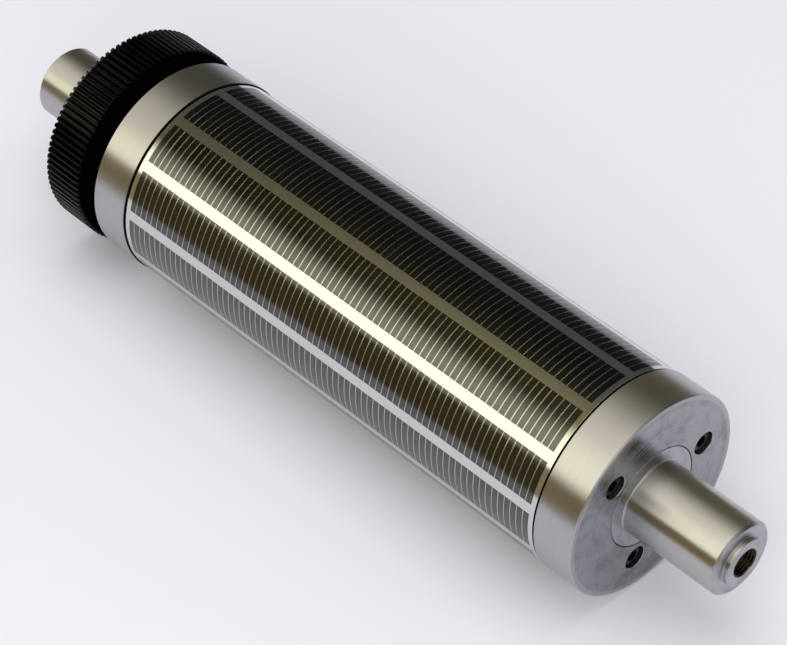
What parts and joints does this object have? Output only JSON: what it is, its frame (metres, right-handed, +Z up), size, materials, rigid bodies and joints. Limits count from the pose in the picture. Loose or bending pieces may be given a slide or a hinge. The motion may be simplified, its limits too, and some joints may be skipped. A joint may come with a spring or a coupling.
{
  "type": "magnetic roller",
  "caption": "Magnetic die roller: ground steel cylinder with inset magnet rows, a bearer ring at each end, a journal at each end, a black spur gear at the drive end and a tapped shaft tip.",
  "frame": {"origin": "on the roller's axis, halfway along the magnetic face", "axes": "+X along the axis towards the operator's journal, +Z up as the roller lies in the picture"},
  "size_m": [0.4244, 0.099, 0.099],
  "materials": {
    "ground_steel": "ground and polished bright, with fine turning marks on the end faces",
    "bearer_steel": "hardened, ground round and polished",
    "blackened_steel": "black oxide, semi-gloss with an oil film",
    "magnet_stack": "near-black magnets ground flush with thin bright pole plates between them",
    "screw_steel": "black oxide socket screws",
    "dowel_steel": "hardened and ground"
  },
  "bodies": {
    "root": {"cylinder_core": "ground_steel", "operator_bearer_ring": "bearer_steel", "drive_bearer_ring": "bearer_steel", "gear_spacer": "blackened_steel", "drive_gear": "blackened_steel", "gear_dowel": "dowel_steel", "operator_bearer_screws": "screw_steel", "gear_screws": "screw_steel", "magnet_row_01": "magnet_stack", "magnet_row_02": "magnet_stack", "magnet_row_03": "magnet_stack", "magnet_row_04": "magnet_stack", "magnet_row_05": "magnet_stack", "magnet_row_06": "magnet_stack", "magnet_row_07": "magnet_stack", "magnet_row_08": "magnet_stack", "magnet_row_09": "magnet_stack", "magnet_row_10": "magnet_stack", "magnet_row_11": "magnet_stack", "magnet_row_12": "magnet_stack"}
  },
  "joints": []
}
